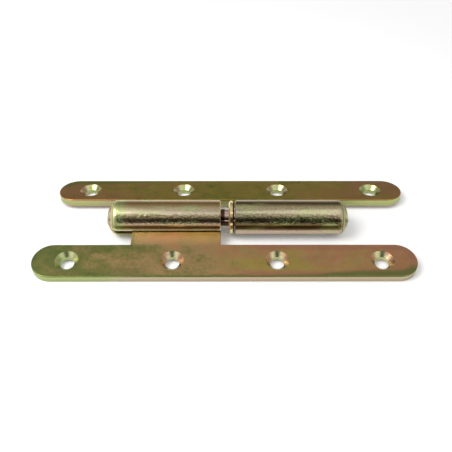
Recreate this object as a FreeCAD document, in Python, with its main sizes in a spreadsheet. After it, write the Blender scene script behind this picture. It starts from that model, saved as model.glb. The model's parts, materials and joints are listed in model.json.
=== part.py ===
import FreeCAD, Part
import math
import os

import Sketcher

# Lift-off hinge lying open and face up: two folded sheet leaves, the pin that one
# of them carries and the washer on that pin. The pin runs along X, the leaf that
# lifts off lies towards -Y and the leaf that carries the pin towards +Y.
# A leaf is drawn in its own frame: the pin axis is its X axis, its strip lies
# towards -Y, and its knuckle runs towards -X.

# Sizes in millimetres and degrees, each with what it measures.
SIZES = (
    ("leaf_length", 140.0, "strip of a leaf, end to end"),
    ("leaf_width", 14.7, "strip of a leaf, edge to edge"),
    ("leaf_reach", 20.3, "pin axis to the middle line of the strip"),
    ("leaf_drop", 0.5, "pin axis down to the top face of the strip"),
    ("sheet_thickness", 3.0, "sheet that the leaves are folded from"),
    ("edge_round", 0.35, "rounding of the upper edges of the sheet"),
    ("edge_bevel", 0.2, "bevel of the lower edges of the sheet"),
    ("hole_count", 4, "screw holes in a leaf"),
    ("hole_margin", 12.7, "end of the leaf to its first screw hole"),
    ("hole_bore", 5.3, "screw hole through the sheet"),
    ("countersink_width", 8.6, "countersink at the top face"),
    ("countersink_angle", 90.0, "countersink, side to side"),
    ("tab_length", 33.4, "tab that joins the strip to its knuckle"),
    ("bend_radius", 2.0, "bend under the tab where the roll begins"),
    ("knuckle_diameter", 13.4, "outside of the rolled knuckle"),
    ("knuckle_length", 43.5, "open face of a knuckle to the tip of its nose"),
    ("knuckle_offset", 1.5, "middle of the leaf to the open face of its knuckle"),
    ("nose_depth", 4.6, "length over which the knuckle closes"),
    ("nose_shoulder", 3.2, "radius where the closing begins"),
    ("crease_depth", 0.22, "crease at the rim of the turned-in sheet"),
    ("crease_width", 0.5, "mouth of that crease"),
    ("seam_gap", 0.3, "free edge of the roll to the leaf below it"),
    ("mouth_angle", 31.0, "opening of the roll where it has no tab"),
    ("lip_radius", 4.8, "rise of the lower lip of the nose"),
    ("lip_setback", 0.8, "lower lip behind the tip of the nose"),
    ("hood_start", 0.15, "rim of the upper lip behind the tip, at the middle of the nose"),
    ("hood_slope", 24.0, "lean of that rim back towards the top of the roll"),
    ("hood_step", 0.25, "cap of the nose set back below that rim"),
    ("slit_width", 0.5, "slit between the lips at the tip"),
    ("slit_reach", 5.5, "slit past the middle of the tip"),
    ("slit_depth", 1.6, "slit into the tip"),
    ("slit_angle", 14.0, "rise of the slit on the side away from the strip"),
    ("rim_bevel", 0.3, "bevel round the open face of a knuckle"),
    ("pin_diameter", 6.6, "pin"),
    ("pin_seat_room", 5.8, "bottom of its bore to the fixed end of the pin"),
    ("socket_room", 3.75, "bottom of the socket to the pin, with the hinge together"),
    ("pin_nose", 1.2, "bevel of the free end of the pin"),
    ("pin_bevel", 0.6, "bevel of the fixed end of the pin"),
    ("running_clearance", 0.08, "play of the lifting knuckle round the pin"),
    ("washer_clearance", 0.15, "play of the washer round the pin"),
    ("washer_diameter", 12.8, "outside of the washer"),
    ("washer_thickness", 1.95, "washer, face to face"),
    ("washer_bevel", 0.5, "bevel round both faces of the washer"),
    ("washer_gap", 0.45, "washer to the knuckle with the pin, as it lies"),
    ("lift_gap", 3.05, "washer to the lifting knuckle, as it lies"),
)


def fill_sheet(document):
    """Write the sizes into the document's sheet, one named cell each."""
    sheet = document.addObject("Spreadsheet::Sheet", "Sizes")
    for row, (alias, value, meaning) in enumerate(SIZES, start=1):
        sheet.set(f"A{row}", meaning)
        sheet.set(f"B{row}", str(value))
        sheet.setAlias(f"B{row}", alias)
    document.recompute()
    return sheet


def origin_feature(body, role):
    """Return one of the body's own origin planes or axes."""
    return next(item for item in body.Origin.OriginFeatures if item.Role == role)


def new_body(document, name):
    """Add an empty body whose label names the sub-part."""
    body = document.addObject("PartDesign::Body", name)
    body.Label = name
    return body


def new_sketch(body, name, role, offset="0"):
    """Lay a sketch on an origin plane of the body, moved along its normal."""
    sketch = body.newObject("Sketcher::SketchObject", name)
    sketch.AttachmentSupport = [(origin_feature(body, role), "")]
    sketch.MapMode = "FlatFace"
    sketch.setExpression("AttachmentOffset.Base.z", offset)
    return sketch


def value_of(sketch, expression):
    """Work an expression on the sheet out to a plain number."""
    result = sketch.evalExpression(expression)
    return float(getattr(result, "Value", result))


def bind(sketch, constraint, expression):
    """Add a constraint whose value follows an expression on the sheet."""
    index = sketch.addConstraint(constraint)
    sketch.setExpression(f"Constraints[{index}]", expression)


def pin_down(sketch, geometry, end, across, up):
    """Fix one end of a line or arc by its two distances from the origin."""
    for kind, expression in (("DistanceX", across), ("DistanceY", up)):
        value = value_of(sketch, expression)
        bind(sketch, Sketcher.Constraint(kind, -1, 1, geometry, end, value), expression)


def draw_outline(sketch, corners):
    """Draw a closed outline of lines and arcs with every corner bound.

    A corner is (across, up), or (across, up, radius) where an arc that turns
    to the left leads on to the next corner.
    """
    points = [FreeCAD.Vector(*(value_of(sketch, text) for text in corner[:2])) for corner in corners]
    count = len(corners)
    for index, corner in enumerate(corners):
        start, end = points[index], points[(index + 1) % count]
        if len(corner) == 3:
            sketch.addGeometry(left_arc(start, end, value_of(sketch, corner[2])))
        else:
            sketch.addGeometry(Part.LineSegment(start, end))
    for index, corner in enumerate(corners):
        sketch.addConstraint(Sketcher.Constraint("Coincident", index, 2, (index + 1) % count, 1))
        pin_down(sketch, index, 1, corner[0], corner[1])
        if len(corner) == 3:
            radius = value_of(sketch, corner[2])
            bind(sketch, Sketcher.Constraint("Radius", index, radius), corner[2])


def left_arc(start, end, radius):
    """Return the short arc from start to end that turns to the left."""
    chord = end - start
    to_left = FreeCAD.Vector(-chord.y, chord.x, 0).normalize()
    rise = math.sqrt(max(radius ** 2 - (chord.Length / 2) ** 2, 0.0))
    centre = (start + end) / 2 + to_left * rise
    angles = [math.atan2(point.y - centre.y, point.x - centre.x) for point in (start, end)]
    circle = Part.Circle(centre, FreeCAD.Vector(0, 0, 1), radius)
    return Part.ArcOfCircle(circle, *angles)


def extrude(body, kind, name, sketch, length, symmetric=False):
    """Pad or pocket a sketch by a length bound to the sheet."""
    feature = body.newObject("PartDesign::" + kind, name)
    feature.Profile = sketch
    feature.setExpression("Length", length)
    if symmetric:
        feature.SideType = "Symmetric"
    return feature


def turn(body, kind, name, sketch):
    """Turn a sketch once round the X axis of its body."""
    feature = body.newObject("PartDesign::" + kind, name)
    feature.Profile = sketch
    feature.ReferenceAxis = (sketch, ["H_Axis"])
    feature.Angle = 360
    return feature


def dress_edges(body, kind, name, test, size):
    """Fillet or chamfer the edges of the body so far that pass a test."""
    base = body.Tip
    body.Document.recompute()
    feature = body.newObject("PartDesign::" + kind, name)
    feature.Base = (base, edges_where(base, test))
    feature.setExpression("Radius" if kind == "Fillet" else "Size", size)
    return feature


def edges_where(feature, test):
    """Name the edges of a feature's shape whose bounding box passes a test."""
    return [
        f"Edge{index}"
        for index, edge in enumerate(feature.Shape.Edges, start=1)
        if test(edge.BoundBox)
    ]


# Lines of a leaf, measured from the middle of the strip along X and from the pin
# axis along Y and Z.
FACE_X = "(-Sizes.knuckle_offset)"
TAB_X = "(-Sizes.knuckle_offset - Sizes.tab_length)"
TIP_X = "(-Sizes.knuckle_offset - Sizes.knuckle_length)"
NEAR_EDGE_Y = "(-Sizes.leaf_reach + Sizes.leaf_width / 2)"
MIDDLE_Y = "(-Sizes.leaf_reach)"
FAR_EDGE_Y = "(-Sizes.leaf_reach - Sizes.leaf_width / 2)"
TOP_Z = "(-Sizes.leaf_drop)"
UNDER_Z = "(-Sizes.leaf_drop - Sizes.sheet_thickness)"
SEAM_Z = "(-Sizes.leaf_drop + Sizes.seam_gap)"
ROLL_RADIUS = "(Sizes.knuckle_diameter / 2)"
OUTSIDE = "(-Sizes.knuckle_diameter / 2 - Sizes.sheet_thickness)"
BORE_DEPTH = "(Sizes.knuckle_length - Sizes.sheet_thickness)"
END_X = "(Sizes.leaf_length / 2 - Sizes.leaf_width / 2)"
PITCH = "((Sizes.leaf_length - 2 * Sizes.hole_margin) / (Sizes.hole_count - 1))"

# Edges and faces nearer than this to a plane lie in it, and a step that changes
# a volume by less than this has done nothing.
FLAT = 0.01
LEAST_CHANGE = 0.0001


def blank(body, wall_y):
    """Cut the strip with its round ends and the tab, and dress the cut edges."""
    sketch = new_sketch(body, "BlankOutline", "XY_Plane", UNDER_Z)
    half = "Sizes.leaf_width / 2"
    draw_outline(sketch, (
        ("-" + END_X, FAR_EDGE_Y),
        (END_X, FAR_EDGE_Y, half),
        (END_X + " + " + half, MIDDLE_Y, half),
        (END_X, NEAR_EDGE_Y),
        (FACE_X, NEAR_EDGE_Y),
        (FACE_X, wall_y),
        (TAB_X, wall_y),
        (TAB_X, NEAR_EDGE_Y),
        ("-" + END_X, NEAR_EDGE_Y, half),
        ("-" + END_X + " - " + half, MIDDLE_Y, half),
    ))
    extrude(body, "Pad", "Blank", sketch, "Sizes.sheet_thickness")
    wall = value_of(sketch, wall_y) - FLAT

    def outline_at(height):
        level = value_of(sketch, height)
        return lambda box: box.ZLength < FLAT and abs(box.ZMin - level) < FLAT and box.YMin < wall

    dress_edges(body, "Fillet", "UpperEdges", outline_at(TOP_Z), "Sizes.edge_round")
    dress_edges(body, "Chamfer", "LowerEdges", outline_at(UNDER_Z), "Sizes.edge_bevel")


def screw_holes(body):
    """Drill one countersunk hole and repeat it along the strip."""
    sketch = new_sketch(body, "HolePlace", "XY_Plane", TOP_Z)
    first_x = "(Sizes.hole_margin - Sizes.leaf_length / 2)"
    bore = "Sizes.hole_bore / 2"
    centre = FreeCAD.Vector(value_of(sketch, first_x), value_of(sketch, MIDDLE_Y))
    circle = Part.Circle(centre, FreeCAD.Vector(0, 0, 1), value_of(sketch, bore))
    sketch.addGeometry(circle)
    pin_down(sketch, 0, 3, first_x, MIDDLE_Y)
    bind(sketch, Sketcher.Constraint("Radius", 0, circle.Radius), bore)
    body.Document.recompute()
    hole = body.newObject("PartDesign::Hole", "ScrewHole")
    hole.Profile = sketch
    hole.DepthType = "ThroughAll"
    hole.setExpression("Diameter", "Sizes.hole_bore")
    hole.HoleCutType = "Countersink"
    hole.HoleCutCustomValues = True
    hole.setExpression("HoleCutDiameter", "Sizes.countersink_width")
    hole.setExpression("HoleCutCountersinkAngle", "Sizes.countersink_angle")
    body.Document.recompute()
    row = body.newObject("PartDesign::LinearPattern", "ScrewHoles")
    row.Originals = [hole]
    row.Direction = (origin_feature(body, "X_Axis"), [""])
    row.Mode = "Spacing"
    row.setExpression("Offset", PITCH)
    row.setExpression("Occurrences", "Sizes.hole_count")
    body.Tip = row


def bend(body, wall_y):
    """Fill the curve under the tab where the sheet turns down into the roll."""
    sketch = new_sketch(body, "BendSection", "YZ_Plane", TAB_X)
    centre_z = f"({UNDER_Z} - Sizes.bend_radius)"
    centre_y = f"(-sqrt(({ROLL_RADIUS} + Sizes.bend_radius) ^ 2 - {centre_z} ^ 2))"
    share = f"({ROLL_RADIUS} / ({ROLL_RADIUS} + Sizes.bend_radius))"
    within = TOP_Z + " - Sizes.sheet_thickness / 2"
    draw_outline(sketch, (
        (wall_y, within),
        (centre_y, within),
        (centre_y, UNDER_Z),
        (centre_y + " * " + share, centre_z + " * " + share),
    ))
    extrude(body, "Pad", "Bend", sketch, "Sizes.tab_length")


def nose_arcs(inset):
    """Return the two corners where the arcs of the nose's outline start.

    The shoulder's arc leads on to the cap's, and both lie inset below the skin.
    """
    depth, shoulder = "Sizes.nose_depth", "Sizes.nose_shoulder"
    step = f"({ROLL_RADIUS} - {shoulder})"
    cap = f"(({depth} ^ 2 + {step} ^ 2 - {shoulder} ^ 2) / (2 * ({depth} - {shoulder})))"
    share = f"(({cap} - {inset}) / ({cap} - {shoulder}))"
    return (
        (f"{TIP_X} + {depth}", f"{ROLL_RADIUS} - {inset}", f"{shoulder} - {inset}"),
        (f"{TIP_X} + {cap} + ({depth} - {cap}) * {share}", f"{step} * {share}", f"{cap} - {inset}"),
    )


def knuckle(body, bore):
    """Turn the rolled knuckle: open face, blind bore and the end that closes."""
    sketch = new_sketch(body, "KnuckleSection", "XZ_Plane")
    blind_x = TIP_X + " + Sizes.sheet_thickness"
    draw_outline(sketch, (
        (TIP_X, "0"),
        (blind_x, "0"),
        (blind_x, bore),
        (FACE_X, bore),
        (FACE_X, ROLL_RADIUS),
        *nose_arcs("0"),
    ))
    turn(body, "Revolution", "Knuckle", sketch)


def seam(body):
    """Open the roll: a fine gap over the tab, and a mouth where there is no tab."""
    gap = new_sketch(body, "SeamSection", "YZ_Plane", FACE_X)
    draw_outline(gap, ((OUTSIDE, TOP_Z), ("0", TOP_Z), ("0", SEAM_Z), (OUTSIDE, SEAM_Z)))
    extrude(body, "Pocket", "Seam", gap, "Sizes.tab_length")
    mouth = new_sketch(body, "MouthSection", "YZ_Plane", TAB_X)
    draw_outline(mouth, (
        (f"{SEAM_Z} / tan(Sizes.mouth_angle)", SEAM_Z),
        (OUTSIDE, SEAM_Z),
        (OUTSIDE, f"{OUTSIDE} * tan(Sizes.mouth_angle)"),
    ))
    extrude(body, "Pocket", "Mouth", mouth, "Sizes.knuckle_length")


def hood(body):
    """Set the cap of the nose back below the sloping rim of the upper lip."""
    layer = new_body(body.Document, body.Name + "_cap_layer")
    beyond_x = TIP_X + " - Sizes.hood_step"
    skin = new_sketch(layer, "LayerSection", "XZ_Plane")
    draw_outline(skin, (
        *nose_arcs("Sizes.hood_step"),
        (TIP_X + " + Sizes.hood_step", "0"),
        (beyond_x, "0"),
        (beyond_x, ROLL_RADIUS + " + Sizes.hood_step"),
        (TIP_X + " + Sizes.nose_depth", ROLL_RADIUS + " + Sizes.hood_step"),
    ))
    turn(layer, "Revolution", "Layer", skin)
    rim_x = TIP_X + " + Sizes.hood_start"
    top_z = "-" + OUTSIDE
    outer_x = TIP_X + " - Sizes.nose_depth"
    behind_x = TIP_X + " + 2 * Sizes.nose_depth"
    side = new_sketch(layer, "BehindRim", "XZ_Plane")
    draw_outline(side, (
        (rim_x, SEAM_Z),
        (outer_x, SEAM_Z),
        (outer_x, OUTSIDE),
        (behind_x, OUTSIDE),
        (behind_x, top_z),
        (f"{rim_x} + ({top_z} - {SEAM_Z}) * tan(Sizes.hood_slope)", top_z),
    ))
    extrude(layer, "Pocket", "OffBehindRim", side, f"-2 * {OUTSIDE}", symmetric=True)
    trim = body.newObject("PartDesign::Boolean", "Hood")
    trim.Type = "Cut"
    trim.setObjects([layer])


def nose(body):
    """Shape the closed end: lower lip, slit between the lips and rim crease."""
    lip = new_sketch(body, "LipProfile", "XZ_Plane")
    lip_x = TIP_X + " + Sizes.lip_setback"
    beyond_x = TIP_X + " - Sizes.nose_depth"
    draw_outline(lip, (
        (lip_x, SEAM_Z),
        (lip_x, f"-{ROLL_RADIUS} + Sizes.lip_radius", "Sizes.lip_radius"),
        (lip_x + " + Sizes.lip_radius", f"-{ROLL_RADIUS}"),
        (lip_x + " + Sizes.lip_radius", OUTSIDE),
        (beyond_x, OUTSIDE),
        (beyond_x, SEAM_Z),
    ))
    extrude(body, "Pocket", "LowerLip", lip, f"-2 * {OUTSIDE}", symmetric=True)
    slit = new_sketch(body, "SlitSection", "YZ_Plane", TIP_X + " + Sizes.slit_depth")
    half = "Sizes.slit_width / (2 * cos(Sizes.slit_angle))"
    rise = "Sizes.slit_reach * tan(Sizes.slit_angle)"
    draw_outline(slit, (
        ("0", "-" + half),
        ("Sizes.slit_reach", f"{rise} - {half}"),
        ("Sizes.slit_reach", f"{rise} + {half}"),
        ("0", half),
    ))
    extrude(body, "Pocket", "Slit", slit, "2 * Sizes.slit_depth")
    crease = new_sketch(body, "CreaseSection", "XZ_Plane")
    crease_x = TIP_X + " + Sizes.sheet_thickness"
    run = "(Sizes.nose_depth - Sizes.sheet_thickness)"
    crease_z = f"({ROLL_RADIUS} - Sizes.nose_shoulder + sqrt(Sizes.nose_shoulder ^ 2 - {run} ^ 2))"
    draw_outline(crease, (
        (crease_x, crease_z + " - Sizes.crease_depth"),
        (crease_x + " + Sizes.crease_width", crease_z + " + Sizes.crease_width"),
        (crease_x + " - Sizes.crease_width", crease_z + " + Sizes.crease_width"),
    ))
    turn(body, "Groove", "Crease", crease)


def rim(body):
    """Bevel the outer rim of the open face of the knuckle."""
    sketch = body.Group[0]
    face_x, radius = value_of(sketch, FACE_X), value_of(sketch, ROLL_RADIUS)

    def on_rim(box):
        return box.XLength < FLAT and abs(box.XMin - face_x) < FLAT and box.ZMax > radius - FLAT

    dress_edges(body, "Chamfer", "KnuckleRim", on_rim, "Sizes.rim_bevel")


def build_leaf(document, name, bore):
    """Fold one leaf: strip with screw holes, tab and rolled knuckle."""
    body = new_body(document, name)
    wall_y = f"(-({ROLL_RADIUS} + {bore}) / 2)"
    blank(body, wall_y)
    screw_holes(body)
    bend(body, wall_y)
    knuckle(body, bore)
    seam(body)
    hood(body)
    nose(body)
    rim(body)
    return body


def build_pin(document):
    """Turn the pin, fixed end towards +X, with a longer bevel at the free end."""
    body = new_body(document, "pin")
    sketch = new_sketch(body, "PinSection", "XZ_Plane")
    radius = "Sizes.pin_diameter / 2"
    fixed_x = f"({BORE_DEPTH} - Sizes.pin_seat_room)"
    free_x = f"(-Sizes.washer_thickness - {BORE_DEPTH} + Sizes.socket_room)"
    draw_outline(sketch, (
        (free_x, "0"),
        (fixed_x, "0"),
        (fixed_x, radius + " - Sizes.pin_bevel"),
        (fixed_x + " - Sizes.pin_bevel", radius),
        (free_x + " + Sizes.pin_nose", radius),
        (free_x, radius + " - Sizes.pin_nose"),
    ))
    turn(body, "Revolution", "Pin", sketch)
    return body


def build_washer(document):
    """Turn the washer with its rim bevelled on both sides."""
    body = new_body(document, "washer")
    sketch = new_sketch(body, "WasherSection", "XZ_Plane")
    half = "Sizes.washer_thickness / 2"
    radius = "Sizes.washer_diameter / 2"
    bore = "Sizes.pin_diameter / 2 + Sizes.washer_clearance"
    draw_outline(sketch, (
        ("-" + half, bore),
        (half, bore),
        (half, radius + " - Sizes.washer_bevel"),
        (half + " - Sizes.washer_bevel", radius),
        ("-" + half + " + Sizes.washer_bevel", radius),
        ("-" + half, radius + " - Sizes.washer_bevel"),
    ))
    turn(body, "Revolution", "Washer", sketch)
    return body


def droop(sheet):
    """Angle at which a leaf lies with its knuckle and its far lower edge down."""
    reach = sheet.leaf_reach + sheet.leaf_width / 2 - sheet.edge_bevel
    drop = sheet.leaf_drop + sheet.sheet_thickness
    height = sheet.knuckle_diameter / 2
    return math.degrees(math.asin(height / math.hypot(reach, drop)) - math.atan2(drop, reach))


def lay_down(sheet, lift_leaf, pin_leaf, pin, washer):
    """Put the sub-parts where they lie, the middle of the hinge at X = 0."""
    height = sheet.knuckle_diameter / 2
    spacing = sheet.lift_gap + sheet.washer_thickness + sheet.washer_gap
    pin_face = spacing / 2
    shift = sheet.knuckle_offset - spacing / 2
    tilt = FreeCAD.Rotation(FreeCAD.Vector(1, 0, 0), droop(sheet))
    half_turn = FreeCAD.Rotation(FreeCAD.Vector(0, 0, 1), 180)
    upright = FreeCAD.Rotation()
    washer_x = pin_face - sheet.washer_gap - sheet.washer_thickness / 2
    lift_leaf.Placement = FreeCAD.Placement(FreeCAD.Vector(shift, 0, height), tilt)
    pin_leaf.Placement = FreeCAD.Placement(FreeCAD.Vector(-shift, 0, height), half_turn * tilt)
    pin.Placement = FreeCAD.Placement(FreeCAD.Vector(pin_face, 0, height), upright)
    washer.Placement = FreeCAD.Placement(FreeCAD.Vector(washer_x, 0, height), upright)


def check(document, bodies):
    """Stop if any object failed or any sub-part is not one sound solid."""
    for item in document.Objects:
        if "Invalid" in item.State or "Error" in item.State:
            raise RuntimeError(f"{item.Label} failed: {item.State}")
    for body in bodies:
        shape = body.Shape
        if shape.isNull() or not shape.isValid() or len(shape.Solids) != 1:
            raise RuntimeError(f"{body.Label} is not one sound solid")
        check_steps(body)


def check_steps(body):
    """Stop if a step of a sub-part adds or cuts nothing."""
    for step in body.Group:
        base = getattr(step, "BaseFeature", None)
        if base is not None and abs(step.Shape.Volume - base.Shape.Volume) < LEAST_CHANGE:
            raise RuntimeError(f"{step.Label} of {body.Label} changes nothing")


def main():
    document = FreeCAD.newDocument("LiftOffHinge")
    sheet = fill_sheet(document)
    pin_radius = "(Sizes.pin_diameter / 2)"
    running_bore = "(Sizes.pin_diameter / 2 + Sizes.running_clearance)"
    lift_leaf = build_leaf(document, "lift_leaf", running_bore)
    pin_leaf = build_leaf(document, "pin_leaf", pin_radius)
    pin = build_pin(document)
    washer = build_washer(document)
    lay_down(sheet, lift_leaf, pin_leaf, pin, washer)
    document.recompute()
    bodies = (lift_leaf, pin_leaf, pin, washer)
    check(document, bodies)
    os.makedirs("parts", exist_ok=True)
    for body in bodies:
        body.Shape.exportStep(f"parts/{body.Label}.step")


main()
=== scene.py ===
"""Finish of a lift-off hinge: countersunk leaves rolled round a pin, zinc plated and yellow passivated."""

import json
import math

import bmesh
import bpy
from mathutils import Matrix, Quaternion, Vector


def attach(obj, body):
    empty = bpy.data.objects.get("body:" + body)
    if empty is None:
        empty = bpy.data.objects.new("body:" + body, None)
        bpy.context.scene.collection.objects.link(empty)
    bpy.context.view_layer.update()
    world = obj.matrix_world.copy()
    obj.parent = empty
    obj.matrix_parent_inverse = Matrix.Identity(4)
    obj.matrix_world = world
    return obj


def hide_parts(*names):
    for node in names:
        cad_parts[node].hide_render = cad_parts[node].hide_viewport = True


bl_info = {
    "name": "Lift-off hinge finish",
    "version": (1, 0, 0),
    "blender": (4, 5, 0),
    "location": "View3D > Sidebar > Hinge",
    "description": "Gives a packed lift-off hinge its yellow passivated plating, floor, light and camera",
    "category": "Object",
}

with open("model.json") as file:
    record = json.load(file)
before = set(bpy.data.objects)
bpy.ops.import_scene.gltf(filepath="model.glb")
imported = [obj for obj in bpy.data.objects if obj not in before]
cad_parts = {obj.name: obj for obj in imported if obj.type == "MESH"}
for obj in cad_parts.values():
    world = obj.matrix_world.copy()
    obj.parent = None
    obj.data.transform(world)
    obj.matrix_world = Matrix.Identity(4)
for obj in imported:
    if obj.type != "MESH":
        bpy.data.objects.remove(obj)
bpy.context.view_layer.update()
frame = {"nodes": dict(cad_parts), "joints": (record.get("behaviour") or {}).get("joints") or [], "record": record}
MOUNTS = {mount["name"]: mount for mount in frame["record"]["mounts"]}
JOINTS = {joint["name"]: joint for joint in frame["joints"]}

MM = 0.001
WHITE = (1.0, 1.0, 1.0, 1.0)

# Axis of the pin, which both leaves are rolled round
AXIS_POINT = Vector(JOINTS["swing"]["pos_m"])
ROLL_RADIUS = AXIS_POINT.z / MM

# Screw holes of a leaf, in millimetres, with the fine rings that turning left in their cones
HOLE_RADIUS = MOUNTS["lift_inner_screws"]["dims"]["hole_r_mm"]
INNER_HOLE_X = MOUNTS["lift_inner_screws"]["dims"]["pcd_mm"] / 2
COUNTERSINK_RADIUS = 4.3
RING_PITCH = 0.22
RING_DEPTH = 0.0012

# Strip and tab in the leaf's own frame, in millimetres: X is the pin's axis, and the strip lies towards -Y
LEAF_XS = [vertex.co.x / MM for vertex in frame["nodes"]["lift_leaf"].data.vertices]
LEAF_HALF_LENGTH = (max(LEAF_XS) - min(LEAF_XS)) / 2
SHEET_THICKNESS = 3.0
STRIP_HALF_WIDTH = 7.35
EDGE_ROUND = 0.35
TAB_END_X = -34.9

# Green border of a strip, in millimetres, where it is narrow and where it is wide
NARROW_BORDER = 0.9
WIDE_BORDER = 3.5

# Roll in the same frame, from its open face to the tip of its closed end
ROLL_FACE_X = -1.5
ROLL_TIP_X = -45.0
NOSE_CAP_RADIUS = 8.27
RIM_X = -42.0
BORE_RADIUS = ROLL_RADIUS - SHEET_THICKNESS
SEAM_TOP = -0.2
BURR_WIDTH = 1.15
BURR_HEIGHT = 0.3

# Face of the washer towards the pin leaf's roll, in millimetres along the pin's axis
WASHER_XS = [(vertex.co.x - AXIS_POINT.x) / MM for vertex in frame["nodes"]["washer"].data.vertices]
WASHER_FACE_X = max(WASHER_XS)

# Margin round a hard border, a softer one, and a length past every depth in the roll, all in millimetres
HAIR = 0.05
MARGIN = 0.5
FAR = 9.0

# Share of a face's colour that it loses under full painted shade in the gap between the washer and the pin leaf's
# roll
GAP_SHADE_LOSS = 0.9

# Steps in millimetres from the clouds of one seed to those of the next
SEED_STEP = Vector((37.0, 11.0, 0.0))

# Corners that lie closer are merged, and edges that turn further stay crisp
MERGE_DISTANCE = 0.002 * MM
SHARP_ANGLE = math.radians(30)

# Lamps over the hinge: name, place, width and depth in metres, and the setting that gives the brightness
SOFT_BOXES = (
    ("soft_box_left", (-0.3, -0.11, 0.6), 0.6, 0.46, "left_box"),
    ("soft_box_right", (0.26, -0.15, 0.6), 0.46, 0.46, "right_box"),
    ("key_box", (-0.34, -0.11, 0.5), 0.3, 0.3, "key_box"),
)


class Wire:
    """A socket of a node tree that can stand in a sum: each operator adds its Math node."""

    def __init__(self, tree, socket):
        self.tree = tree
        self.socket = socket

    def maths(self, operation, *values):
        return self.tree.add("ShaderNodeMath", {"operation": operation}, dict(enumerate(values)))

    def __add__(self, other):
        return self.maths("ADD", self, other)

    def __radd__(self, other):
        return self.maths("ADD", other, self)

    def __sub__(self, other):
        return self.maths("SUBTRACT", self, other)

    def __rsub__(self, other):
        return self.maths("SUBTRACT", other, self)

    def __mul__(self, other):
        return self.maths("MULTIPLY", self, other)

    def __rmul__(self, other):
        return self.maths("MULTIPLY", other, self)

    def __truediv__(self, other):
        return self.maths("DIVIDE", self, other)

    def __abs__(self):
        return self.maths("ABSOLUTE", self)

    def __gt__(self, other):
        return self.maths("GREATER_THAN", self, other)

    def __lt__(self, other):
        return self.maths("LESS_THAN", self, other)

    def largest(self, other):
        return self.maths("MAXIMUM", self, other)

    def smallest(self, other):
        return self.maths("MINIMUM", self, other)

    def sine(self):
        return self.maths("SINE", self)

    def root(self):
        return self.maths("SQRT", self)

    def angle_from(self, other):
        """Angle whose tangent is this wire over the other."""
        return self.maths("ARCTAN2", self, other)

    def wrapped(self, half_step):
        """This wire moved by whole steps to between -half_step and half_step."""
        return self.maths("WRAP", self, half_step, -half_step)

    def sway(self, width):
        """Noise from 0 to 1 as a change of the given width, half of it up and half of it down."""
        return (self - 0.5) * width

    def rise(self, start, end):
        """0 up to start, 1 from end on, and a smooth step between. It falls where start is the larger."""
        settings = {"interpolation_type": "SMOOTHSTEP"}
        sockets = {"Value": self, "From Min": min(start, end), "From Max": max(start, end)}
        step = self.tree.add("ShaderNodeMapRange", settings, sockets)
        return step if start < end else 1 - step


class Tree:
    """A node tree that is written as sums of wires."""

    def __init__(self, node_tree):
        self.nodes = node_tree.nodes
        self.links = node_tree.links

    def add(self, kind, settings=None, sockets=None, output=0):
        """Adds one node: its settings first, then the values or wires of its sockets. Returns one output."""
        node = self.nodes.new(kind)
        for name, value in (settings or {}).items():
            if name == "stops":
                self.set_stops(node.color_ramp, value)
            else:
                setattr(node, name, value)
        for key, value in (sockets or {}).items():
            if isinstance(value, Wire):
                self.links.new(value.socket, node.inputs[key])
            else:
                node.inputs[key].default_value = value
        return Wire(self, node.outputs[output]) if len(node.outputs) else None

    @staticmethod
    def set_stops(ramp, stops):
        while len(ramp.elements) < len(stops):
            ramp.elements.new(1.0)
        for element, (place, colour) in zip(ramp.elements, stops):
            element.position = place
            element.color = (*colour, 1.0)

    def scale_of(self, stops, film):
        """Colour of a film on a scale of stops, each a place on the scale and its colour."""
        return self.add("ShaderNodeValToRGB", {"stops": stops}, {"Fac": film})

    def mix(self, factor, first, second):
        """Colour that goes from first to second with the factor."""
        paints = [value if isinstance(value, Wire) else (*value, 1.0) for value in (first, second)]
        sockets = {0: factor, 6: paints[0], 7: paints[1]}
        return self.add("ShaderNodeMix", {"data_type": "RGBA"}, sockets, output=2)

    def tint(self, colour, factor):
        """Colour times a number."""
        return self.add("ShaderNodeVectorMath", {"operation": "SCALE"}, {0: colour, "Scale": factor})

    def parts(self, vector):
        """The three numbers of a vector."""
        outputs = self.add("ShaderNodeSeparateXYZ", None, {0: vector}).socket.node.outputs
        return [Wire(self, output) for output in outputs]

    def noise(self, place, grain, detail=2.0, roughness=0.5, distortion=0.0):
        """Noise from 0 to 1 whose clouds are about grain long, where place and grain are in millimetres."""
        sockets = {
            "Vector": place, "Scale": 1.0 / grain, "Detail": detail,
            "Roughness": roughness, "Distortion": distortion,
        }
        return self.add("ShaderNodeTexNoise", None, sockets)

    def place(self, location, rotation=(0.0, 0.0, 0.0), unit=MM):
        """Object coordinates seen from a frame of their own, given by its place, turn and unit."""
        sockets = {
            "Vector": self.add("ShaderNodeTexCoord", output=3),
            "Location": location, "Rotation": rotation, "Scale": (unit, unit, unit),
        }
        return self.add("ShaderNodeMapping", {"vector_type": "TEXTURE"}, sockets)

    def stretch(self, vector, scale, location=(0.0, 0.0, 0.0)):
        """A vector moved and scaled, for a pattern that is longer one way."""
        return self.add("ShaderNodeMapping", None, {"Vector": vector, "Location": location, "Scale": scale})


def new_material(name):
    """An empty material and its tree."""
    material = bpy.data.materials.new(name)
    material.use_nodes = True
    material.node_tree.nodes.clear()
    return material, Tree(material.node_tree)


def metal_shader(tree, colour, roughness, height):
    """Metal in the colour of its film, with the surface's height in millimetres."""
    bump = tree.add("ShaderNodeBump", None, {"Strength": 1.0, "Distance": MM, "Height": height})
    sockets = {"Base Color": colour, "Metallic": 1.0, "Roughness": roughness, "Normal": bump}
    shader = tree.add("ShaderNodeBsdfPrincipled", None, sockets)
    tree.add("ShaderNodeOutputMaterial", None, {"Surface": shader})


def ring_distance(first, second):
    return (first * first + second * second).root()


def blend(factor, first, second):
    """Number that goes from first to second with the factor."""
    return first + factor * (second - first)


def scaled(colour, factor):
    return [factor * part for part in colour]


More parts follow.
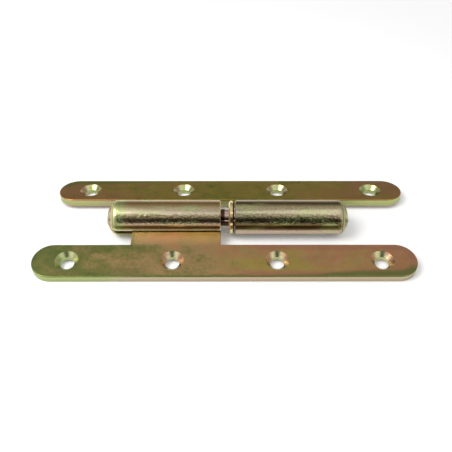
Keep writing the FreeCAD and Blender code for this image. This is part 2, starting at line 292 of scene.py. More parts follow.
def leaf_frame(side):
    """Place and turn of a leaf's own frame, and in it, in millimetres, the row of holes on its underside."""
    mount = MOUNTS[side + "_inner_screws"]
    lean = math.asin(mount["axis"][1])
    turn = math.pi if mount["pos_m"][1] > 0 else 0.0
    tilt = lean if turn else -lean
    location = Vector((mount["pos_m"][0], AXIS_POINT.y, AXIS_POINT.z))
    matrix = Matrix.Translation(location) @ Matrix.Rotation(turn, 4, "Z") @ Matrix.Rotation(tilt, 4, "X")
    hole_row = (matrix.inverted() @ Vector(mount["pos_m"])) / MM
    return location, (tilt, 0.0, turn), hole_row


class LeafPlating:
    """Yellow passivated zinc of one leaf, as wires: distances in millimetres, and masks from 0 to 1."""

    def __init__(self, tree, side, finish):
        location, rotation, hole_row = leaf_frame(side)
        self.tree = tree
        self.finish = finish
        self.place = tree.place(location, rotation)
        self.x, self.y, self.z = tree.parts(self.place)
        self.along = self.x / LEAF_HALF_LENGTH
        self.across = self.y - hole_row.y
        self.top = hole_row.z + SHEET_THICKNESS
        self.to_right = self.along.rise(-0.1, 0.15)

        # 1 for the leaf at the camera's side, and -1 for the one that is turned half round
        self.facing = math.cos(rotation[2])

        self.add_patterns()
        self.mark_strip()
        self.mark_holes()
        self.mark_roll()

    def add_patterns(self):
        """Noises from the largest clouds, which are drawn out along the leaf, down to the finest grain."""
        tree, place, finish = self.tree, self.place, self.finish
        self.offset = SEED_STEP * finish.cloud_seed
        drawn_out = tree.stretch(place, (0.6, 1.0, 1.0), self.offset)
        self.clouds = tree.noise(drawn_out, finish.cloud_size, detail=1.5, roughness=0.4, distortion=0.3)
        self.wisps = tree.noise(drawn_out, finish.cloud_size * 0.3, distortion=0.2)
        self.blotches = tree.noise(place, 3.2, detail=3.0, roughness=0.55, distortion=0.5)
        self.mottle = tree.noise(place, 1.1, detail=3.0, roughness=0.6)
        self.peel = tree.noise(place, 0.85, roughness=0.6)
        self.specks = tree.noise(place, 0.45, roughness=0.6)
        self.grain = tree.noise(place, 0.32, roughness=0.55)

    def mark_strip(self):
        """The flat strip with half rounds for ends, its sheared side, and the tab that leads to the roll."""
        beyond = (abs(self.x) - (LEAF_HALF_LENGTH - STRIP_HALF_WIDTH)).largest(0.0)
        self.from_edge = STRIP_HALF_WIDTH - ring_distance(beyond, self.across)
        self.on_strip = self.across.rise(STRIP_HALF_WIDTH + MARGIN, STRIP_HALF_WIDTH - MARGIN)
        self.on_tab = self.across.rise(STRIP_HALF_WIDTH - 2.0, STRIP_HALF_WIDTH + 5.0)
        beside_strip = self.across < STRIP_HALF_WIDTH + MARGIN
        self.on_side = self.from_edge.rise(0.2, HAIR) * (self.z < self.top - EDGE_ROUND) * beside_strip

    def mark_holes(self):
        """The countersinks and their bores. They stand at even steps, so the row is wrapped onto one."""
        self.aside = (self.x - INNER_HOLE_X).wrapped(INNER_HOLE_X)
        self.from_hole = ring_distance(self.aside, self.across)
        self.in_hole = (self.from_hole < COUNTERSINK_RADIUS + HAIR) * (self.z < self.top - 0.04)
        self.in_bore = (self.from_hole < HOLE_RADIUS + HAIR) * self.in_hole

    def mark_roll(self):
        """The roll lies within its radius of the pin's axis, and its inside lies well below its skin."""
        x, y, z = self.x, self.y, self.z
        self.from_axis = ring_distance(y, z)
        self.on_roll = self.from_axis.rise(ROLL_RADIUS + MARGIN, ROLL_RADIUS + 2 * HAIR)
        cap_middle_x = ROLL_TIP_X + NOSE_CAP_RADIUS
        below_cap = (x < cap_middle_x) * (NOSE_CAP_RADIUS - ring_distance(x - cap_middle_x, self.from_axis))
        below_skin = (ROLL_RADIUS - self.from_axis).smallest(below_cap + FAR * (x > cap_middle_x))
        # Painted shade: the inside of the roll, well below its skin, is painted in the nearly black shade colour
        self.inside = below_skin.rise(0.3, 0.9)
        on_face = x.rise(ROLL_FACE_X - 0.08, ROLL_FACE_X - 0.03)
        self.open_face = on_face * self.from_axis.rise(BORE_RADIUS, BORE_RADIUS + 2 * HAIR) * self.on_roll

        # Share of a turn round the level axis: 0.5 on top and 0.75 at the camera's side
        _, level_y, level_z = self.tree.parts(self.tree.place(AXIS_POINT))
        self.turn = (0.0 - level_y).angle_from(level_z) / (2 * math.pi) + 0.5
        self.coarse_front = self.turn.rise(0.595, 0.625) * self.turn.rise(0.71, 0.675)

        # Free edge of the sheet, which was sheared and lies along the seam: raised in the height, and painted as a
        # highlight line in the colour
        burr_top = SEAM_TOP + BURR_WIDTH
        at_seam = z.rise(burr_top, burr_top - 0.4) * z.rise(SEAM_TOP, SEAM_TOP + 0.35)
        self.burr_and_highlight = at_seam * (self.from_axis > ROLL_RADIUS - 0.35) * (y < 0.0)

    def flat_film(self):
        """Film on the flats, from green at 0 to rose at 1: its rise along the leaf, then clouds and spots."""
        finish, along = self.finish, self.along
        film = finish.film_middle + along.smallest(0.0) * finish.film_slope
        film = film + along.largest(0.0) * finish.film_rise + along * along * finish.film_curve
        contrast = finish.cloud_contrast * (1 - 0.5 * along.rise(-0.35, 0.05))
        film = film + self.clouds.sway(contrast) + self.wisps.sway(contrast) * 0.55
        film = film + self.blotches.sway(finish.blotch_contrast) * (1 + 1.4 * self.to_right)
        film = film + self.mottle.sway(finish.mottle_contrast)
        thick_edge = self.from_edge.rise(3.5, 0.8) * self.on_strip * along.rise(0.0, 0.3)
        return film + self.on_tab * 0.2 + thick_edge * finish.edge_rose

    def green_border(self):
        """Thin film along the outer edge, round the -X end of the strip and at the free end of the tab."""
        along, from_edge = self.along, self.from_edge
        width = blend(along.rise(0.3, 0.85), NARROW_BORDER, WIDE_BORDER) + self.wisps.sway(2.0)
        outer = (from_edge / width).rise(1.2, 0.5) * self.on_strip * self.across.rise(-1.0, -4.5)
        end = (from_edge / WIDE_BORDER).rise(1.3, 0.3).largest(self.from_hole.rise(8.5, 5.0)) * self.on_strip
        end = end * along.rise(-0.25, -0.55) * self.finish.end_green
        tab_end = self.x.rise(TAB_END_X + 1.7, TAB_END_X + MARGIN) * self.on_tab
        return outer.largest(end).largest(tab_end * 0.7)

    def flat_colour(self):
        """Clouds of film on the flats, with yellow spots, a green border and a paler tab."""
        finish, tree = self.finish, self.tree
        stops = [
            (0.0, finish.green), (0.28, finish.olive), (0.5, finish.tan),
            (0.72, finish.russet), (1.0, finish.rose),
        ]
        flat = tree.scale_of(stops, self.flat_film())
        golden = self.clouds.rise(0.56, 0.4) * self.to_right * self.from_edge.rise(1.0, 4.5)
        golden_tab = self.x.rise(-22.0, -10.0) * self.on_tab * 0.7
        flat = tree.mix(golden.largest(golden_tab) * finish.gold_share, flat, finish.gold)
        flat = tree.mix(self.green_border() * finish.edge_green, flat, finish.green)
        speckle = 1 + self.wisps.sway(0.25) + self.grain.sway(0.27) + self.mottle.sway(0.2)
        by_roll = self.y.rise(-15.0, -7.0)
        return tree.tint(flat, speckle * (1 + 0.4 * self.on_tab + 0.3 * by_roll))

    def roll_colour(self):
        """Bands of film round the roll: brown on top, then straw, dark and coarse in front, pink below. Part of it
        is painted light: a painted highlight in the straw band above the front, and painted shade in the darkest
        band in front and at the bottom by the floor.
        """
        finish, tree, x = self.finish, self.tree, self.x
        # Stops at shares of a turn round the axis: 0.57 to 0.605 holds the painted highlight, and 0.655 to 0.674
        # and 0.88 hold painted shade
        stops = [
            (0.0, finish.straw), (0.4, finish.hazel), (0.49, finish.umber), (0.53, finish.hazel),
            (0.57, finish.straw), (0.605, finish.straw), (0.64, finish.hazel), (0.655, finish.peat_and_shade),
            (0.674, finish.peat_and_shade), (0.69, finish.rust), (0.71, finish.umber), (0.727, finish.umber),
            (0.748, finish.rust), (0.775, finish.blush), (0.82, finish.blush), (0.88, finish.rust),
            (1.0, finish.straw),
        ]
        streaks = tree.stretch(self.place, (0.35, 1.0, 1.0), self.offset)
        bend = tree.noise(streaks, 5.0, detail=3.0, roughness=0.55)
        roll = tree.scale_of(stops, self.turn + bend.sway(0.04) + self.mottle.sway(0.03))
        green_streaks = bend.rise(0.5, 0.66)
        roll = tree.mix(green_streaks * 0.5, roll, finish.leek)
        speckle = 1 + self.peel.sway(0.5) + self.grain.sway(0.4)
        roll = tree.tint(roll, speckle * (1 + self.specks.sway(2.2) * self.coarse_front))
        behind_rim = x.rise(RIM_X + 6.5, RIM_X + 2.0) * x.rise(RIM_X - 0.6, RIM_X + 0.4)
        roll = tree.mix(behind_rim * finish.nose_green, roll, finish.leek)
        # Painted highlight: a bright band round the crease at the closed end
        rim_highlight = abs(x - RIM_X).rise(0.9, 0.5)
        roll = tree.mix(rim_highlight * 0.8, roll, finish.bright)
        # Painted shade: olive, darker than the pink film, under the seam at the front where the roll overhangs it
        shaded_lower_lip = (self.z < SEAM_TOP) * (self.y < -2.0)
        roll = tree.mix(shaded_lower_lip * 0.7, roll, finish.olive)
        # Painted highlight: the free edge at the seam is painted half again as bright as the bright metal
        return tree.mix(self.burr_and_highlight, roll, scaled(finish.bright, 1.5))

    def side_colour(self):
        """Sheared side of the sheet: smooth and pale above, torn and duller below."""
        finish, tree, along = self.finish, self.tree, self.along
        film = finish.side_film + (along + 0.2).smallest(0.0) * 0.9 - along * along * 0.25
        film = film + self.clouds.sway(0.7)
        side = tree.scale_of([(0.15, finish.leek), (0.5, finish.straw), (0.85, finish.blush)], film)
        torn = self.z.rise(self.top - SHEET_THICKNESS / 3, self.top - SHEET_THICKNESS * 0.6)
        return tree.tint(side, 1.0 - torn * 0.12)

    def cone_colour(self):
        """Countersinks: bright, greener to the middle, and orange on the side in front at +X, darkened there as
        painted shade against the key box's glint.
        """
        finish, tree = self.finish, self.tree
        slope = self.along.rise(-0.86, -0.25) * finish.cone_slope
        film = 0.25 + self.wisps.sway(0.8) + abs(self.aside) * slope
        cone = tree.scale_of([(0.2, finish.leek), (0.5, finish.bright), (0.75, finish.coral)], film)
        at_right = (self.aside * self.facing).rise(0.9, 2.2)
        coral_shaded_flank = at_right * (self.across * self.facing).rise(0.9, -0.5)
        cone = tree.mix(coral_shaded_flank * 0.6, cone, finish.coral)
        # Painted shade: the orange side in front at +X is darkened by half to hold down the key box's glint
        return tree.tint(cone, (0.95 + self.grain.sway(0.5)) * (1 - coral_shaded_flank * 0.5))

    def colour(self):
        finish, tree = self.finish, self.tree
        colour = tree.mix(self.on_roll, self.flat_colour(), self.roll_colour())
        colour = tree.mix(self.in_hole, colour, self.cone_colour())
        colour = tree.mix(self.on_side * 0.85, colour, self.side_colour())
        # Painted shade inside the roll, except on its open face
        colour = tree.mix(self.inside * (1 - self.open_face), colour, finish.shade)
        # Painted shade on the open face of the pin leaf's roll, beside the washer; the lift leaf's open face keeps
        # bright metal
        return tree.mix(self.open_face, colour, scaled(finish.bright, 1 - GAP_SHADE_LOSS * finish.painted_gap_shade))

    def roughness(self):
        finish = self.finish
        pits = self.grain.rise(0.42, 0.3)
        nose = self.on_roll * self.x.rise(RIM_X + 2.6, RIM_X + 0.8)
        roughness = finish.flat_roughness + self.wisps.sway(0.16) + pits * 0.08
        roughness = roughness + self.on_roll * (finish.roll_roughness - finish.flat_roughness)
        roughness = roughness + self.in_hole * (finish.cone_roughness - finish.flat_roughness)
        return roughness + self.in_bore * 0.12 + nose * finish.nose_blur

    def height(self):
        """Grain of the flats, peeled grain of the roll and its raised edge along the seam, and rings in the
        countersinks.
        """
        finish = self.finish
        fine = (self.grain + self.mottle * 1.5) * finish.flat_grain
        peeled = self.on_roll * self.peel.sway(finish.roll_grain) * blend(self.coarse_front, 0.1, 0.7)
        rings = (self.from_hole * (2 * math.pi / RING_PITCH)).sine() * RING_DEPTH * self.in_hole
        return (fine + peeled + self.burr_and_highlight * BURR_HEIGHT) * (1 - self.in_hole * 0.7) + rings


def leaf_plating(side, finish):
    """Material of a leaf: clouds on the flats, grain on the roll, bright turned countersinks."""
    material, tree = new_material(side + "_leaf_yellow_zinc")
    plating = LeafPlating(tree, side, finish)
    metal_shader(tree, plating.colour(), plating.roughness(), plating.height())
    return material


def turned_plating(name, finish):
    """Yellow passivated zinc of a piece turned round the pin's axis, with fine lines round it."""
    material, tree = new_material(name)
    place = tree.place(AXIS_POINT)
    x, _, z = tree.parts(place)
    clouds = tree.noise(place, 3.5, detail=3.0, roughness=0.55, distortion=0.4)
    grain = tree.noise(place, 0.25)
    lines = tree.noise(tree.stretch(place, (1.0, 0.03, 0.03)), finish.line_pitch, roughness=0.6)
    # Film rubbed thin beside the washer, pale only on the pin's upper side: wear, and a painted highlight where
    # the overhead light falls
    beside_washer = x.rise(-1.5, -0.9)
    wear_and_highlight = beside_washer * z.rise(0.2, 1.2) * finish.wear_and_highlight
    film = finish.film_middle + clouds.sway(finish.cloud_contrast) + lines.sway(0.3) + grain.sway(0.15) - wear_and_highlight
    colour = tree.scale_of([(0.25, finish.pale), (0.5, finish.middle), (0.75, finish.deep)], film)
    # Painted shade on the washer's face towards the pin leaf's roll, beside the gap between them
    far_face = x.rise(WASHER_FACE_X - 0.425, WASHER_FACE_X - 0.175)
    colour = tree.tint(colour, (1 + lines.sway(0.24)) * (1 - GAP_SHADE_LOSS * far_face * finish.painted_gap_shade))
    roughness = finish.roughness + clouds.sway(0.1) + grain.sway(0.06)
    height = (lines + grain * 0.5) * finish.line_depth
    metal_shader(tree, colour, roughness, height)
    return material


def floor_paint(stage):
    """White paper that keeps the hinge's shadow and fades into plain white further out."""
    material, tree = new_material("white_paper_floor")
    x, y, _ = tree.parts(tree.place((0.0, 0.0, 0.0), unit=1.0))
    seen = background_rays(tree)
    far = ring_distance(x, y).rise(stage.shadow_reach, stage.shadow_reach * 2)
    lit = tree.add("ShaderNodeBsdfDiffuse", None, {"Color": (*stage.floor_colour, 1.0)})
    lift = tree.add("ShaderNodeEmission", None, {"Color": WHITE, "Strength": stage.floor_lift * seen})
    near = tree.add("ShaderNodeAddShader", None, {0: lit, 1: lift})
    white = tree.add("ShaderNodeEmission", None, {"Color": WHITE, "Strength": 1.0})
    shader = tree.add("ShaderNodeMixShader", None, {0: far * seen, 1: near, 2: white})
    tree.add("ShaderNodeOutputMaterial", None, {"Surface": shader})
    return material


def light_path(tree, name):
    """1 for the rays that one output of the Light Path node names, 0 for the others."""
    outputs = tree.add("ShaderNodeLightPath").socket.node.outputs
    return Wire(tree, outputs[name])


def background_rays(tree):
    """1 for the rays that show the background: the camera's, and those that metal and glass send on."""
    sent_on = light_path(tree, "Is Glossy Ray").largest(light_path(tree, "Is Transmission Ray"))
    return light_path(tree, "Is Camera Ray").largest(sent_on)


def finishing_tree():
    """Nodes that give a CAD mesh of loose triangles shared corners, smooth curves and crisp edges."""
    group = bpy.data.node_groups.new("finished_metal", "GeometryNodeTree")
    sockets = (
        ("Geometry", "NodeSocketGeometry", None), ("Merge Distance", "NodeSocketFloat", MERGE_DISTANCE),
        ("Sharp Angle", "NodeSocketFloat", SHARP_ANGLE), ("Material", "NodeSocketMaterial", None),
    )
    for name, kind, default in sockets:
        socket = group.interface.new_socket(name, in_out="INPUT", socket_type=kind)
        if default is not None:
            socket.default_value = default
    group.interface.new_socket("Geometry", in_out="OUTPUT", socket_type="NodeSocketGeometry")
    tree = Tree(group)
    inputs = tree.add("NodeGroupInput")
    given = {socket.name: Wire(tree, socket) for socket in inputs.socket.node.outputs if socket.name}
    merged = tree.add(
        "GeometryNodeMergeByDistance", None,
        {"Geometry": given["Geometry"], "Distance": given["Merge Distance"]},
    )
    smooth = tree.add(
        "GeometryNodeSetShadeSmooth", {"domain": "FACE"},
        {"Geometry": merged, "Shade Smooth": True},
    )
    angle = tree.add("GeometryNodeInputMeshEdgeAngle")
    crisp = tree.add(
        "GeometryNodeSetShadeSmooth", {"domain": "EDGE"},
        {"Geometry": smooth, "Selection": angle > given["Sharp Angle"], "Shade Smooth": False},
    )
    real = tree.add("GeometryNodeRealizeInstances", None, {"Geometry": crisp})
    painted = tree.add("GeometryNodeSetMaterial", None, {"Geometry": real, "Material": given["Material"]})
    tree.add("NodeGroupOutput", None, {"Geometry": painted})
    return group


def finish_node(node, body, material):
    """A finished piece that stands for a CAD node: its own form, with corners shared and edges crisp."""
    copy = bpy.data.objects.new(node + "_draft", frame["nodes"][node].data.copy())
    bpy.context.scene.collection.objects.link(copy)
    group = bpy.data.node_groups.get("finished_metal") or finishing_tree()
    nodes = copy.modifiers.new("finished_metal", "NODES")
    nodes.node_group = group
    for item in group.interface.items_tree:
        if item.in_out == "INPUT" and item.name == "Material":
            nodes[item.identifier] = material
    normals = copy.modifiers.new("even_normals", "WEIGHTED_NORMAL")
    normals.keep_sharp = True
    normals.weight = 100
    bpy.context.view_layer.update()
    evaluated = copy.evaluated_get(bpy.context.evaluated_depsgraph_get())
    mesh = bpy.data.meshes.new_from_object(evaluated)
    bpy.data.objects.remove(copy)
    if not mesh.polygons:
        raise RuntimeError("no finished mesh came of " + node)
    piece = bpy.data.objects.new(node + "_plated", mesh)
    bpy.context.scene.collection.objects.link(piece)
    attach(piece, body)
    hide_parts(node)


def colour_property(name, description, default):
    return bpy.props.FloatVectorProperty(
        name=name, description=description, default=default, subtype="COLOR", min=0.0, max=1.0
    )


def number_property(name, description, default, **limits):
    return bpy.props.FloatProperty(name=name, description=description, default=default, **limits)


def share_property(name, description, default, most=1.0):
    return number_property(name, description, default, min=0.0, max=most)


class LeafFinish(bpy.types.PropertyGroup):
    """Colours and texture of one leaf's plating. The defaults are the near leaf's."""

    green: colour_property("Green", "Thinnest film on the flats", (0.150, 0.190, 0.055))
    olive: colour_property("Olive", "Film between green and tan", (0.270, 0.240, 0.075))
    tan: colour_property("Tan", "Middle film on the flats", (0.440, 0.290, 0.130))
    russet: colour_property("Russet", "Reddish brown film on the flats", (0.470, 0.245, 0.110))
    rose: colour_property("Rose", "Thickest film on the flats", (0.440, 0.215, 0.120))
    gold: colour_property("Gold", "Yellow spots on the flats", (0.420, 0.325, 0.080))
    straw: colour_property("Straw", "Pale film of the roll", (0.520, 0.440, 0.300))
    leek: colour_property("Leek", "Green film of the roll, cut edges and countersinks", (0.410, 0.480, 0.190))
    hazel: colour_property("Hazel", "Brown film of the roll", (0.400, 0.300, 0.150))
    umber: colour_property("Umber", "Dark film on top of the roll and at its front", (0.370, 0.230, 0.090))
    # Partly dark film and partly painted shade: the darkest band, high on the roll's front
    peat_and_shade: colour_property("Peat", "Darkest film, high on the roll's front", (0.190, 0.130, 0.070))
    rust: colour_property("Rust", "Film of the roll's front", (0.500, 0.370, 0.260))
    blush: colour_property("Blush", "Pink film under the roll", (0.560, 0.420, 0.310))
    coral: colour_property("Coral", "Orange film of the countersinks", (0.520, 0.300, 0.180))
    # Bright is the colour of worn and turned metal, and is also used for the painted highlights at the closed end
    # and along the seam
    bright: colour_property("Bright", "Worn and turned metal", (0.640, 0.600, 0.340))
    # Shade is painted shade: the nearly black colour given to the inside of the roll, where shade falls
    shade: colour_property("Shade", "Bare metal inside the roll", (0.060, 0.040, 0.022))
    film_middle: number_property("Film at the middle", "Place on the scale from green to rose", 0.60)
    film_slope: number_property("Film slope", "Change of film from the -X end to the middle", 0.40)
    film_rise: number_property("Film rise", "Change of film from the middle to the +X end", 0.12)
    film_curve: number_property("Film curve", "Change of film from the middle to both ends", 0.0)
    cloud_contrast: number_property("Cloud contrast", "How far clouds change the film", 1.05, min=0.0)
    blotch_contrast: number_property("Blotch contrast", "How far blotches change the film", 0.5, min=0.0)
    mottle_contrast: number_property("Mottle contrast", "How far fine mottle changes the film", 0.45, min=0.0)
    cloud_size: number_property("Cloud size", "Length of a large cloud in millimetres", 15.0, min=0.1)
    cloud_seed: number_property("Cloud seed", "Moves the clouds to another pattern", 0.0)
    gold_share: share_property("Gold share", "Strength of the yellow spots", 0.8)
    nose_green: share_property("Nose green", "Share of green film at the closed end", 0.75)
    end_green: share_property("End green", "Share of green film round the -X end", 0.7)
    edge_rose: number_property("Edge rose", "Thicker film along both edges of the +X half", 0.55, min=0.0)
    edge_green: share_property("Edge green", "Share of green film along the outer edge", 0.85)
    flat_roughness: share_property("Flat roughness", "Roughness of the flats", 0.3)
    roll_roughness: share_property("Roll roughness", "Roughness of the roll", 0.2)
    # Painted shade on the open face of the roll, in the gap beside the washer
    painted_gap_shade: share_property("Dull face", "How dark the open face of the roll is", 0.0)
    nose_blur: share_property("Nose blur", "Added roughness at the closed end", 0.16, most=0.5)
    cone_roughness: share_property("Countersink roughness", "Roughness of the cones", 0.27)
    flat_grain: number_property("Flat grain", "Height of the flats' grain in millimetres", 0.004, min=0.0)
    roll_grain: number_property("Roll grain", "Height of the roll's grain in millimetres", 0.24, min=0.0)
    side_film: number_property("Cut edge film", "Place of the cut edge on the scale from green to pink", 0.74)
    cone_slope: number_property("Countersink slope", "Change of film per millimetre from the middle", 0.17)


class TurnedFinish(bpy.types.PropertyGroup):
    """Colours and texture of the pin or the washer."""

    pale: colour_property("Pale", "Thinnest film", (0.84, 0.80, 0.45))
    middle: colour_property("Middle", "Middle film", (0.79, 0.65, 0.34))
    deep: colour_property("Deep", "Thickest film", (0.74, 0.42, 0.24))
    roughness: share_property("Roughness", "Roughness of the surface", 0.22)
    # Wear beside the washer, and a painted highlight on the pin's upper side
    wear_and_highlight: number_property("Worn", "How much the film is rubbed thin beside the washer", 0.0, min=0.0)
    # Painted shade on the face in the gap towards the pin leaf's roll
    painted_gap_shade: share_property("Dull face", "How dark the face towards the pin leaf's roll is", 0.0)
    film_middle: number_property("Film at the middle", "Place on the scale from pale to deep", 0.5)
    cloud_contrast: number_property("Cloud contrast", "How far clouds change the film", 1.0, min=0.0)
    line_pitch: number_property("Line pitch", "Spacing of the turned lines in millimetres", 0.2, min=0.01)
    line_depth: number_property("Line depth", "Depth of the turned lines in millimetres", 0.002, min=0.0)


class StageSettings(bpy.types.PropertyGroup):
    """Floor, light and camera."""

    floor_colour: colour_property("Floor colour", "Colour of the paper", (0.90, 0.90, 0.90))
    floor_half: number_property("Floor half width", "Half the floor's side", 2.0, unit="LENGTH")
    floor_lift: number_property("Floor lift", "White that the paper shows besides its light", 0.12, min=0.0)
    shadow_reach: number_property("Shadow reach", "Distance within which shadows show", 0.2, unit="LENGTH")
    room_light: number_property("Room light", "Strength of the light from all round", 0.5, min=0.0)
    front_light: number_property("Front light", "Strength of the room beside the camera", 1.1, min=0.0)
    wall_light: number_property("Wall light", "Strength of the wall behind the hinge", 0.32, min=0.0)
    wall_top: number_property("Wall top", "Strength of the wall's upper end", 0.78, min=0.0)
    dark_side: number_property("Dark side", "Strength of the room behind the camera", 0.04, min=0.0)
    left_box: number_property("Left soft box", "Brightness of the box overhead at the left", 0.68, min=0.0)
    right_box: number_property("Right soft box", "Brightness of the box overhead at the right", 0.95, min=0.0)
    key_box: number_property("Key box", "Brightness of the small box that throws the shadow", 7.5, min=0.0)
    distance: number_property("Camera distance", "From the pin's axis to the lens", 0.2345, unit="LENGTH")
    elevation: number_property("Elevation", "Camera above the horizon", math.radians(41.7), subtype="ANGLE")
    azimuth: number_property("Azimuth", "Camera turned round the hinge", math.radians(-0.34), subtype="ANGLE")
    roll: number_property("Roll", "Camera turned about its own line", math.radians(0.19), subtype="ANGLE")
    aside: number_property("Aside", "Camera's aim along the pin's axis", -0.0007, unit="LENGTH")
    lens: number_property("Lens", "Focal length in millimetres on a 36 mm sensor", 48.7, min=1.0)
    lift: number_property("Shift", "Shift of the picture upwards, as a share of its width", -0.0192)


class HINGE_OT_leaves(bpy.types.Operator):
    """Finish both leaves: flats, rolls, countersinks and edges"""

    bl_idname = "hinge.leaves"
    bl_label = "Finish Leaves"

    def execute(self, context):
        for side in ("lift", "pin"):
            finish = getattr(context.scene, side + "_leaf_finish")
            material = leaf_plating(side, finish)
            finish_node(side + "_leaf", side + "_side", material)
        return {"FINISHED"}


class HINGE_OT_pin(bpy.types.Operator):
    """Finish the pin that the lift leaf turns on"""

    bl_idname = "hinge.pin"
    bl_label = "Finish Pin"

    def execute(self, context):
        material = turned_plating("drawn_pin_yellow_zinc", context.scene.pin_finish)
        finish_node("pin", "pin_side", material)
        return {"FINISHED"}


class HINGE_OT_washer(bpy.types.Operator):
    """Finish the washer between the two rolls"""

    bl_idname = "hinge.washer"
    bl_label = "Finish Washer"

    def execute(self, context):
        material = turned_plating("turned_washer_yellow_zinc", context.scene.washer_finish)
        finish_node("washer", "washer_ring", material)
        return {"FINISHED"}


def build_floor(stage):
    mesh = bpy.data.meshes.new("floor")
    shape = bmesh.new()
    bmesh.ops.create_grid(shape, x_segments=4, y_segments=4, size=stage.floor_half)
    shape.to_mesh(mesh)
    shape.free()
    mesh.materials.append(floor_paint(stage))
    floor = bpy.data.objects.new("floor", mesh)
    bpy.context.scene.collection.objects.link(floor)


def build_soft_box(name, place, width, depth, brightness):
    """A rectangular lamp aimed at the hinge, whose face has the given brightness, where 1 is white."""
    lamp = bpy.data.lights.new(name, "AREA")
    lamp.shape = "RECTANGLE"
    lamp.size = width
    lamp.size_y = depth
    lamp.energy = brightness * math.pi * width * depth
    box = bpy.data.objects.new(name, lamp)
    bpy.context.scene.collection.objects.link(box)
    box.location = place
    box.rotation_mode = "QUATERNION"
    box.rotation_quaternion = (AXIS_POINT - Vector(place)).to_track_quat("-Z", "Y")


def build_world(stage):
    """A bright room: white low down, a dim wall behind the hinge, and a dark side behind the camera."""
    world = bpy.data.worlds.new("studio")
    world.use_nodes = True
    world.node_tree.nodes.clear()
    bpy.context.scene.world = world
    tree = Tree(world.node_tree)

    # The direction has length 1, so x, y and z are shares of it, and the camera looks towards +Y
    x, y, z = tree.parts(tree.add("ShaderNodeTexCoord"))
    beside_camera = y.rise(-0.1, -0.5) * z.rise(0.75, 0.5)
    wall = (y - abs(x) * 0.9).rise(-0.2, 0.2) * z.rise(0.2, 0.42)
    low_down = z.rise(0.3, 0.15) * background_rays(tree)
    behind_camera = (0.0 - y - abs(x) * 2.4).rise(-0.05, 0.1) * z.rise(-0.04, 0.02) * z.rise(0.76, 0.6)

    wall_light = blend(z.rise(0.5, 1.1), stage.wall_light, stage.wall_top)
    strength = blend(beside_camera, stage.room_light, stage.front_light)
    strength = blend(wall, strength, wall_light)
    strength = blend(low_down, strength, 1.0)
    strength = blend(behind_camera, strength, stage.dark_side)
    strength = blend(light_path(tree, "Is Camera Ray"), strength, 1.0)
    background = tree.add("ShaderNodeBackground", None, {"Color": WHITE, "Strength": strength})
    tree.add("ShaderNodeOutputWorld", None, {"Surface": background})


def build_camera(stage):
    data = bpy.data.cameras.new("camera")
    data.lens = stage.lens
    data.shift_y = stage.lift
    data.clip_start = 0.01
    camera = bpy.data.objects.new("camera", data)
    bpy.context.scene.collection.objects.link(camera)
    level = Vector((math.sin(stage.azimuth), -math.cos(stage.azimuth), 0.0))
    back = level * math.cos(stage.elevation) + Vector((0.0, 0.0, math.sin(stage.elevation)))
    camera.location = AXIS_POINT + Vector((stage.aside, 0.0, 0.0)) + back * stage.distance
    camera.rotation_mode = "QUATERNION"
    camera.rotation_quaternion = (-back).to_track_quat("-Z", "Y") @ Quaternion((0.0, 0.0, 1.0), stage.roll)
    bpy.context.scene.camera = camera


class HINGE_OT_stage(bpy.types.Operator):
    """Build the paper floor, the soft boxes, the room's light and the camera"""

    bl_idname = "hinge.stage"
    bl_label = "Build Stage"

    def execute(self, context):
        stage = context.scene.hinge_stage
        context.scene.view_settings.view_transform = "Standard"
        build_floor(stage)
        for name, place, width, depth, brightness in SOFT_BOXES:
            build_soft_box(name, place, width, depth, getattr(stage, brightness))
        build_world(stage)
        build_camera(stage)
        return {"FINISHED"}


class HINGE_PT_finish(bpy.types.Panel):
    """Steps that dress the hinge, in order"""

    bl_idname = "HINGE_PT_finish"
    bl_label = "Lift-off Hinge"
    bl_space_type = "VIEW_3D"
    bl_region_type = "UI"
    bl_category = "Hinge"

    def draw(self, context):
        for operator in OPERATORS:
            self.layout.operator(operator.bl_idname)


GROUPS = (LeafFinish, TurnedFinish, StageSettings)
OPERATORS = (HINGE_OT_leaves, HINGE_OT_pin, HINGE_OT_washer, HINGE_OT_stage)
SCENE_GROUPS = {
    "lift_leaf_finish": LeafFinish, "pin_leaf_finish": LeafFinish,
    "pin_finish": TurnedFinish, "washer_finish": TurnedFinish, "hinge_stage": StageSettings,
}

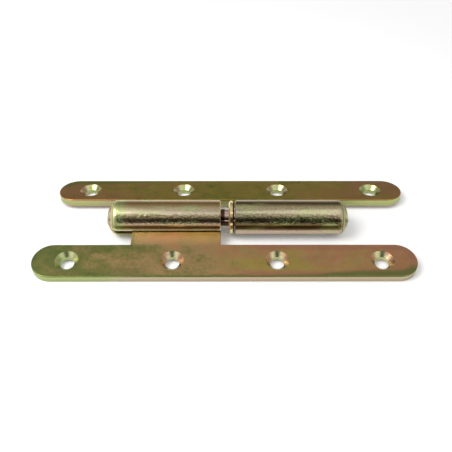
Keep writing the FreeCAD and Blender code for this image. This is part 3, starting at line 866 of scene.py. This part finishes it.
# What differs from the defaults on the far leaf, which holds the pin, and on the pin and the washer
PIN_LEAF_FINISH = {
    "green": (0.18, 0.20, 0.03), "olive": (0.29, 0.24, 0.03), "tan": (0.35, 0.25, 0.045),
    "russet": (0.36, 0.20, 0.06), "rose": (0.38, 0.18, 0.08),
    "straw": (0.42, 0.37, 0.24), "hazel": (0.38, 0.30, 0.17), "umber": (0.12, 0.08, 0.025),
    "peat_and_shade": (0.10, 0.075, 0.03), "rust": (0.19, 0.145, 0.08), "blush": (0.50, 0.38, 0.28),
    "coral": (0.50, 0.29, 0.17), "bright": (0.44, 0.42, 0.22),
    "film_middle": 0.36, "film_slope": 0.0, "film_rise": 0.0, "film_curve": 0.5, "cloud_seed": 3.0,
    "gold_share": 0.0, "nose_green": 0.0, "end_green": 0.0, "edge_rose": 0.0,
    "side_film": 0.36, "cone_slope": 0.12, "painted_gap_shade": 1.0,
}
PIN_FINISH = {
    "pale": (0.58, 0.42, 0.35), "middle": (0.09, 0.045, 0.030), "deep": (0.04, 0.022, 0.015),
    "wear_and_highlight": 0.36, "film_middle": 0.58, "cloud_contrast": 0.4, "roughness": 0.11,
}
WASHER_FINISH = {"roughness": 0.16, "painted_gap_shade": 1.0}


def register():
    for item in (*GROUPS, *OPERATORS, HINGE_PT_finish):
        bpy.utils.register_class(item)
    for name, group in SCENE_GROUPS.items():
        setattr(bpy.types.Scene, name, bpy.props.PointerProperty(type=group))


def unregister():
    for name in SCENE_GROUPS:
        delattr(bpy.types.Scene, name)
    for item in reversed((*GROUPS, *OPERATORS, HINGE_PT_finish)):
        bpy.utils.unregister_class(item)


def change(finish, values):
    for name, value in values.items():
        setattr(finish, name, value)


def main():
    register()
    scene = bpy.context.scene
    change(scene.pin_leaf_finish, PIN_LEAF_FINISH)
    change(scene.pin_finish, PIN_FINISH)
    change(scene.washer_finish, WASHER_FINISH)
    bpy.ops.hinge.leaves()
    bpy.ops.hinge.pin()
    bpy.ops.hinge.washer()
    bpy.ops.hinge.stage()


if __name__ == "__main__":
    main()
